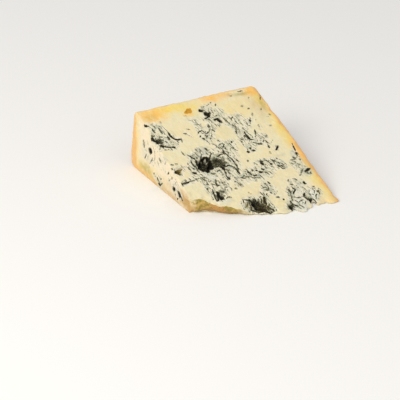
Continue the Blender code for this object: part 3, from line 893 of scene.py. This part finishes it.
# Softboxes: azimuth, elevation, distance, size, power in watts, and colour.
LIGHTS = (
    ("key_softbox", -62, 45, 1.6, 0.9, 12.5, "#fffaf2"),
    ("fill_softbox", 30, 50, 1.8, 1.6, 3, "#ffffff"),
)
STUDIO_COLOUR = "#ffffff"
STUDIO_STRENGTH = 0.56


def read_points(mesh):
    points = np.empty(len(mesh.vertices) * 3, np.float32)
    mesh.vertices.foreach_get("co", points)
    return points.reshape(-1, 3).astype(np.float64)


def write_points(mesh, points):
    mesh.vertices.foreach_set("co", points.ravel().astype(np.float32))
    mesh.update()


def cut_edges(cube, axis, pieces):
    """Cuts every edge that runs along this axis into so many pieces."""
    places = read_points(cube.data)[:, axis]
    ends = np.empty(len(cube.data.edges) * 2, np.int32)
    cube.data.edges.foreach_get("vertices", ends)
    ends = ends.reshape(-1, 2)
    bpy.ops.object.mode_set(mode="EDIT")
    bpy.ops.mesh.select_all(action="DESELECT")
    bpy.ops.object.mode_set(mode="OBJECT")
    along_axis = np.abs(places[ends[:, 0]] - places[ends[:, 1]]) > TINY
    cube.data.edges.foreach_set("select", along_axis)
    bpy.ops.object.mode_set(mode="EDIT")
    bpy.ops.mesh.subdivide(number_cuts=pieces - 1)
    bpy.ops.object.mode_set(mode="OBJECT")


def unit_cube_grid():
    """A unit cube whose sides are cut into a grid."""
    bpy.ops.object.select_all(action="DESELECT")
    bpy.ops.mesh.primitive_cube_add(size=1, location=(0.5, 0.5, 0.5))
    bpy.ops.object.transform_apply(location=True, rotation=True, scale=True)
    cube = bpy.context.object
    cube.name = "blue_cheese"
    bpy.ops.object.mode_set(mode="EDIT")
    bpy.ops.mesh.select_mode(type="EDGE")
    bpy.ops.object.mode_set(mode="OBJECT")
    for axis, cuts in enumerate(GRID):
        for pieces in cuts:
            cut_edges(cube, axis, pieces)
    return cube


def left_end(y):
    return -SKEW[0] * y


def right_end(y):
    return TIP_WIDTH - SKEW[1] * y


def top_edge(across):
    """How far back the top edge of the rind is, at this share of the wedge's width."""
    return TOP_EDGE_REACH[0] + across * (TOP_EDGE_REACH[1] - TOP_EDGE_REACH[0])


def x_at(across, y):
    """Where this share of the wedge's width is, at this distance from the tip."""
    return left_end(y) + across * (right_end(y) - left_end(y))


def bump(distance):
    """A smooth bump, 1 in its middle and 0 from a distance of 1 outwards."""
    return np.clip(1 - distance * distance, 0, None) ** 2


def rounding(distance, radius):
    """How far a rounded edge draws the surface in, at this distance from the edge."""
    inside = np.clip(radius - distance, 0, radius)
    return radius - np.sqrt(radius * radius - inside * inside)


def break_line(x):
    """How far the broken edge is from the tip line, at this place along it."""
    slant = BREAK_DEPTH * (1 - (x - left_end(BREAK_DEPTH)) / BREAK_WIDTH)
    lumps = sum(reach * bump((x - place) / half_width) for _, place, half_width, reach in EDGE_SHAPES)
    return np.clip(slant, 0, None) + TIP_INSET - lumps


def height_at(y):
    """The height of the sloping face, which keeps a little thickness at the tip."""
    return np.hypot(np.clip(y, 0, None) * math.tan(ANGLE), TIP_THICKNESS)


def front_reach(across, up, edge):
    """Where the front is at this share of the width and of the height: blunt, with an overhanging lip."""
    crease = height_at(edge)
    lip = np.minimum(LIP_HEIGHT, crease / 2)
    overhang = np.clip((x_at(across, edge) - left_end(edge)) / LIP_START, 0, 1) * lip / LIP_HEIGHT
    under_lip = np.clip(1 - up * crease / lip, 0, None)
    return edge + LIP_UNDERCUT * overhang * under_lip**2 - FRONT_SWELL * np.sin(math.pi * up)


def back_reach(across, up):
    """Where the curved rind is at this share of the width and of the height."""
    top = top_edge(across)
    height = height_at(top)
    drawn_in = rounding(up * height, FOOT_RADIUS)
    drawn_in += rounding((1 - up) * height, TOP_EDGE_RADIUS)
    drawn_in += rounding((1 - across) * TIP_WIDTH, RIND_CORNER_RADIUS)
    return top + BACK_LEAN * (1 - up) + BACK_SWELL * np.sin(math.pi * up) - drawn_in


def bend_to_wedge(cube):
    """Moves each point of the unit cube to its place in the wedge, measured from the left end of the tip."""
    share = read_points(cube.data)
    share -= EDGE_CROWDING * np.sin(2 * math.pi * share) / (2 * math.pi)
    across, back, up = share.T
    edge = np.zeros(len(share))
    for _ in range(STEPS_TO_EDGE):
        edge = (edge + break_line(x_at(across, edge))) / 2
    front, rear = front_reach(across, up, edge), back_reach(across, up)
    y = front + back * (rear - front)
    top_front, top_rear = front_reach(across, 1, edge), back_reach(across, 1)
    height = height_at(top_front + back * (top_rear - top_front))
    swell = RIGHT_END_SWELL * across**3 * np.sin(math.pi * back)
    write_points(cube.data, np.stack((x_at(across, y) + swell, y, up * height), axis=1))
    return share


def soften_edges(obj):
    modifier = obj.modifiers.new("soft edges", "SMOOTH")
    modifier.iterations = EDGE_SOFTENING
    bpy.ops.object.select_all(action="DESELECT")
    obj.select_set(True)
    bpy.context.view_layer.objects.active = obj
    bpy.ops.object.modifier_apply(modifier=modifier.name)


def unevenness(points, size, height):
    """A smooth random shift for each point, the same for points that share a place."""
    return np.array([height * noise.noise_vector(Vector(point) / size) for point in points])


def near(distance, reach):
    """1 at a surface, fading to 0 at this distance from it."""
    return np.clip(1 - distance / reach, 0, 1)


def from_oval(across, rise, half_length, half_width, turn):
    """How far points are from the middle of a turned oval, where its border is at 1."""
    angle = math.radians(turn)
    a = (across * math.cos(angle) + rise * math.sin(angle)) / half_length
    b = (rise * math.cos(angle) - across * math.sin(angle)) / half_width
    return np.hypot(a, b)


def hole_depth(along, up, ragged, hole):
    """How deep one hole is at each point of a face, and 0 outside it."""
    _, place, reach, half_length, half_width, turn, depth = hole
    from_middle = from_oval(along - place, up - reach, half_length, half_width, turn)
    fall = np.clip(HOLE_STEEPNESS * (HOLE_EDGE - from_middle * (1 + ragged)), 0, 1)
    return depth * fall * fall * (3 - 2 * fall)


def patched(along, up, patches):
    """A soft patch of colour for each of these, strongest in its middle."""
    field = np.zeros(len(along))
    for _, place, reach, half_length, half_width, turn, strength in patches:
        from_middle = from_oval(along / MM - place, up / MM - reach, half_length, half_width, turn)
        field = np.maximum(field, strength * np.clip(PATCH_EDGE - from_middle, 0, 1))
    return field


def on_slope(path):
    """Points on the sloping face, from places along the tip and distances up the slope in millimetres."""
    along, up = MM * np.reshape(path, (-1, 2)).T
    y = up * math.cos(ANGLE)
    return np.stack((along, y, height_at(y)), axis=1)


def on_left_end(path):
    """Points on the left end, from distances back from the tip and heights in millimetres."""
    back, height = MM * np.reshape(path, (-1, 2)).T
    return np.stack((left_end(back), back, height), axis=1)


def close_to(points, line, reach):
    """Which points are in the box round a line that reaches this far beyond it."""
    low, high = line.min(0) - reach, line.max(0) + reach
    return np.flatnonzero(((points > low) & (points < high)).all(1))


def distance_to_line(points, start, end):
    """How far each point is from a straight line, and at what share of its length."""
    along = end - start
    share = np.clip((points - start) @ along / max(along @ along, TINY**2), 0, 1)
    return np.linalg.norm(points - start - share[:, None] * along, axis=1), share


def mould_from(points, veins, place):
    """How mouldy each point is, 0 or less outside the veins, which lie on the face that place() knows."""
    field = np.full(len(points), FAR_FROM_VEIN)
    for half_width, darkness, *path in veins:
        line = place(path)
        half_width *= VEIN_SPREAD * MM
        close = close_to(points, line, (VEIN_EDGE - FAR_FROM_VEIN / VEIN_STEEPNESS) * half_width)
        lengths = np.linalg.norm(line[1:] - line[:-1], axis=1)
        whole = lengths.sum()
        taper = TAPER * min(whole / (SLENDER * half_width), 1)
        passed = 0
        for start, end, length in zip(line[:-1], line[1:], lengths):
            distance, share = distance_to_line(points[close], start, end)
            from_middle = 2 * (passed + share * length) / whole - 1
            wide = half_width * (1 - taper * from_middle**2)
            strength = VEIN_STEEPNESS * (VEIN_EDGE - distance / wide)
            strength = np.clip(strength, FAR_FROM_VEIN, DEEPEST_IN_VEIN)
            strength[strength > 0] *= darkness
            field[close] = np.maximum(field[close], strength)
            passed += length
    return field


def haze_from(points, veins, place):
    """How near each point is to mould, from 0 to 1, which young mould and paler curd surround."""
    field = np.zeros(len(points))
    for half_width, darkness, *path in veins:
        line = place(path)
        reach = (HAZE_REACH + half_width) * MM
        close = close_to(points, line, reach)
        for start, end in zip(line[:-1], line[1:]):
            strength = math.sqrt(darkness) * near(distance_to_line(points[close], start, end)[0], reach)
            field[close] = 1 - (1 - field[close]) * (1 - HAZE_STRENGTH * strength)
    return field


def scattered(zones, flow, random, clean=()):
    """Short faint veins strewn over each zone, which follow the flow of the curd."""
    veins = []
    for _, along, up, half_length, half_width, count, darkness in zones:
        for _ in range(count):
            turn, reach = random.uniform(0, 2 * math.pi), math.sqrt(random.uniform())
            x = along + half_length * reach * math.cos(turn)
            y = up + half_width * reach * math.sin(turn)
            angle = math.radians(flow + random.normal(0, FLOW_SPREAD))
            half = random.uniform(*SHORT_VEIN) / 2
            turned = angle + math.radians(random.normal(0, BEND_SPREAD))
            middle = (x + half * math.cos(angle), y + half * math.sin(angle))
            end = (middle[0] + half * math.cos(turned), middle[1] + half * math.sin(turned))
            width = random.uniform(*SHORT_VEIN_WIDTH)
            strength = darkness * random.uniform(*DARKNESS_SPREAD)
            if all(math.hypot((middle[0] - a) / c, (middle[1] - b) / d) >= 1 for a, b, c, d in clean):
                veins.append((width, strength, x, y, *middle, *end))
    return veins


def store(mesh, name, values):
    attribute = mesh.attributes.new(name, "FLOAT", "POINT")
    attribute.data.foreach_set("value", values.astype(np.float32))


def carve(mesh, share):
    """Cuts the relief into every surface, and stores what the materials are laid out by."""
    points = read_points(mesh)
    x, y, z = points.T
    across, back, up = share.T
    slope_reach = y / math.cos(ANGLE)
    under_slope = (height_at(y) - z) * math.cos(ANGLE)
    from_left = x - left_end(y)
    from_rind = np.minimum(right_end(y) - x, TOP_EDGE_REACH[0] - y)
    from_break = y - break_line(x)
    near_break = near(from_break, BROKEN_DEPTH)[:, None]

    wandered = points + sum(unevenness(points, *waves) for waves in VEIN_WAVES)
    random = np.random.default_rng(SEED)
    slope_veins = SLOPE_VEINS + tuple(scattered(SLOPE_SCATTER, FLOW_TURN, random, CLEAN_CURD))
    left_veins = LEFT_VEINS + tuple(scattered(LEFT_SCATTER, LEFT_FLOW_TURN, random))
    slope_mould = mould_from(wandered, slope_veins, on_slope) - FAR_FROM_VEIN
    left_mould = mould_from(wandered, left_veins, on_left_end) - FAR_FROM_VEIN

    shift = unevenness(points, *KNIFE_WAVES) + unevenness(points, *CRUMB)
    shift += near_break * unevenness(points, *BROKEN_CRUMB)
    shift += near(from_rind, RIND_DEPTH)[:, None] * unevenness(points, *RIND_LUMPS)
    shift += unevenness(points, *FINE_CRUMB)
    shift += near_break**2 * unevenness(points, *FINE_BROKEN_CRUMB)
    shift += near(from_rind, FINE_RIND_DEPTH)[:, None] * unevenness(points, *FINE_RIND)

    ragged = HOLE_RAGGEDNESS * unevenness(points, HOLE_GRAIN, 1)[:, 0]
    pits = np.zeros(len(points))
    for hole in SLOPE_HOLES:
        depth = hole_depth(x, slope_reach, ragged, hole) * near(under_slope, HOLE_REACH)
        shift -= depth[:, None] * SLOPE_NORMAL
        pits = np.maximum(pits, depth)
    for hole in LEFT_HOLES:
        depth = hole_depth(y, z, ragged, hole) * near(from_left, HOLE_REACH)
        shift[:, 0] += depth
        pits = np.maximum(pits, depth)
    slope_mould = FAR_FROM_VEIN + slope_mould * near(under_slope, MOULD_DEPTH)
    left_mould = FAR_FROM_VEIN + left_mould * near(from_left, MOULD_DEPTH)
    shift -= (VEIN_DEPTH * np.clip(slope_mould, 0, 1))[:, None] * SLOPE_NORMAL
    shift[:, 0] += VEIN_DEPTH * np.clip(left_mould, 0, 1)

    haze = haze_from(points, slope_veins, on_slope)
    left_haze = LEFT_HAZE * haze_from(points, left_veins, on_left_end)
    store(mesh, "mould", np.maximum(slope_mould, left_mould))
    store(mesh, "haze", np.maximum(haze, left_haze))
    store(mesh, "pit", pits / PIT_UNIT)
    store(mesh, "from_top_edge", (top_edge(across) - y) / math.cos(ANGLE))
    store(mesh, "from_right_edge", right_end(y) - x)
    store(mesh, "from_left_end", from_left)
    store(mesh, "front", near(from_break, FRONT_DEPTH) * (up < BELOW_CREASE) * (back < FRONT_HALF))
    store(mesh, "along", x / MM)
    store(mesh, "height", z / MM)
    for name, patches in SLOPE_PATCHES.items():
        depth = WHITE_DEPTH if name == "white" else PATCH_DEPTH
        on_top = patched(x, slope_reach, patches) * near(under_slope, depth)
        at_left = patched(y, z, LEFT_PATCHES.get(name, ())) * near(from_left, PATCH_DEPTH)
        store(mesh, name, np.maximum(on_top, at_left))

    foot = up < TINY
    shift[:, :2] *= np.where(foot, 0, np.clip(z / STILL_FOOT, 0, 1))[:, None]
    shift[:, 2] *= np.clip(z / CALM_FOOT, 0, 1)
    points += shift
    points[:, 2] = np.where(foot, 0, np.clip(points[:, 2], LOWEST_OFF_FLOOR, None))
    write_points(mesh, points + np.array(LEFT_TIP))


def close_underside(obj, hidden):
    """Fills the flat underside with a few large faces, because none of its grid shows."""
    bpy.ops.object.mode_set(mode="EDIT")
    bpy.ops.mesh.select_mode(type="FACE")
    bpy.ops.mesh.select_all(action="DESELECT")
    bpy.ops.object.mode_set(mode="OBJECT")
    obj.data.polygons.foreach_set("select", hidden)
    bpy.ops.object.mode_set(mode="EDIT")
    bpy.ops.mesh.delete(type="FACE")
    bpy.ops.mesh.select_mode(type="EDGE")
    bpy.ops.mesh.select_all(action="DESELECT")
    bpy.ops.mesh.select_non_manifold(extend=False)
    bpy.ops.mesh.fill(use_beauty=True)
    bpy.ops.mesh.select_all(action="SELECT")
    bpy.ops.mesh.normals_make_consistent(inside=False)
    bpy.ops.object.mode_set(mode="OBJECT")


def linear(hex_colour):
    """An sRGB hex colour as linear light, with alpha."""
    shares = [int(hex_colour[place : place + 2], 16) / 255 for place in (1, 3, 5)]
    return (*(s / 12.92 if s <= 0.04045 else ((s + 0.055) / 1.055) ** 2.4 for s in shares), 1)


def add(tree, kind, *values, **settings):
    """Adds a node with its settings, gives its inputs a value or a link each, and returns its output."""
    inputs, output = SOCKETS[kind]
    node = tree.nodes.new("ShaderNode" + kind)
    for name, value in settings.items():
        setattr(node, name, value)
    for name, value in zip(inputs, values):
        if isinstance(value, bpy.types.NodeSocket):
            tree.links.new(value, node.inputs[name])
        else:
            node.inputs[name].default_value = value
    return None if output is None else node.outputs[output]


def joined(tree, value, operation, parts):
    """Joins numbers, named values and smooth ranges of them with one operation."""
    result = None
    for part in parts:
        if isinstance(part, tuple):
            part = add(tree, "MapRange", value[part[0]], *part[1:], interpolation_type="SMOOTHSTEP")
        elif isinstance(part, str):
            part = value[part]
        result = part if result is None else add(tree, "Math", result, part, operation=operation)
    return result


def new_material(name):
    material = bpy.data.materials.new(name)
    material.use_nodes = True
    material.node_tree.nodes.clear()
    return material, material.node_tree


def layered_material(name, stored, noises, values, colours, bump_size, finish=()):
    """A material that follows its tables, and what the mesh stores under these names."""
    material, tree = new_material(name)
    value = {word: add(tree, "Attribute", attribute_name=word) for word in stored}
    for word, (size, detail, roughness, drawn_out) in noises.items():
        place = add(tree, "TexCoord")
        if drawn_out:
            place = add(tree, "Mapping", place, FLOW, FLOW_STRETCH, vector_type="TEXTURE")
        value[word] = add(tree, "TexNoise", place, 1 / (size * MM), detail, roughness)
    for word, operation, *parts in values:
        value[word] = joined(tree, value, operation, parts)
    for word, ground, *layers in colours:
        colour = linear(ground)
        for over, *parts in layers:
            over = value[over] if over in value else linear(over)
            colour = add(tree, "Mix", joined(tree, value, "MULTIPLY", parts), colour, over, data_type="RGBA")
        value[word] = colour
    normal = add(tree, "Bump", value["relief"], *bump_size)
    shader = add(tree, "BsdfPrincipled", value["colour"], value["roughness"], normal, *finish)
    add(tree, "OutputMaterial", shader)
    return material


def make_cheese():
    noise.seed_set(SEED)
    cheese = unit_cube_grid()
    share = bend_to_wedge(cheese)
    soften_edges(cheese)
    carve(cheese.data, share)

    # Moist ivory paste looks waxy and crumbly: cream to pale yellow, and streaked with black-green mould.
    tables = (STORED + tuple(SLOPE_PATCHES), PASTE_NOISES, PASTE_VALUES, PASTE_COLOURS, PASTE_BUMP)
    paste = layered_material("moist_ivory_paste", *tables, MOIST_FINISH)
    # Aged natural rind looks dull and rough: orange-tan, with a grey bloom and brown spots.
    rind = layered_material("aged_natural_rind", (), RIND_NOISES, RIND_VALUES, RIND_COLOURS, RIND_BUMP)
    cheese.data.materials.append(paste)
    cheese.data.materials.append(rind)

    corners = np.empty(len(cheese.data.polygons) * 4, np.int32)
    cheese.data.polygons.foreach_get("vertices", corners)
    faces = share[corners.reshape(-1, 4)]
    on_rind = (faces[:, :, :2].min(1) > RIND_SHARE).any(1)
    cheese.data.polygons.foreach_set("material_index", on_rind.astype(np.int32))
    close_underside(cheese, faces[:, :, 2].max(1) < TINY)
    cheese.data.shade_smooth()
    return cheese


def make_floor():
    bpy.ops.object.select_all(action="DESELECT")
    bpy.ops.mesh.primitive_plane_add(size=FLOOR_SIZE, location=(0, 0, 0))
    floor = bpy.context.object
    floor.name = "floor"
    # Pale matte paper looks plain and even, and shows a soft shadow.
    material, tree = new_material("pale_matte_paper")
    add(tree, "OutputMaterial", add(tree, "BsdfPrincipled", linear(FLOOR_COLOUR), FLOOR_ROUGHNESS))
    floor.data.materials.append(material)
    return floor


def place_round(obj, azimuth, elevation, distance, target):
    """Places a camera or light round a point and turns it there. Azimuth 0 is the front of the object."""
    a, e = math.radians(azimuth), math.radians(elevation)
    back = Vector((math.sin(a) * math.cos(e), -math.cos(a) * math.cos(e), math.sin(e)))
    obj.location = target + back * distance
    obj.rotation_euler = back.to_track_quat("Z", "Y").to_euler()
    bpy.context.scene.collection.objects.link(obj)


def make_camera():
    camera = bpy.data.objects.new("camera", bpy.data.cameras.new("camera"))
    camera.data.lens = CAMERA_LENS
    camera.data.clip_start = NEAREST_SEEN
    place_round(camera, CAMERA_AZIMUTH, CAMERA_ELEVATION, CAMERA_DISTANCE, CAMERA_TARGET)
    bpy.context.scene.camera = camera


def make_lights():
    for name, azimuth, elevation, distance, size, power, colour in LIGHTS:
        light = bpy.data.lights.new(name, "AREA")
        light.energy = power
        light.size = size
        light.color = linear(colour)[:3]
        place_round(bpy.data.objects.new(name, light), azimuth, elevation, distance, Vector())
    world = bpy.data.worlds.new("soft_studio")
    bpy.context.scene.world = world
    world.use_nodes = True
    background = world.node_tree.nodes["Background"]
    background.inputs["Color"].default_value = linear(STUDIO_COLOUR)
    background.inputs["Strength"].default_value = STUDIO_STRENGTH


bpy.context.scene.view_settings.view_transform = "Standard"
make_camera()
make_lights()
make_floor()
cheese = make_cheese()
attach(cheese, "root")
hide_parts("cheese_wedge")
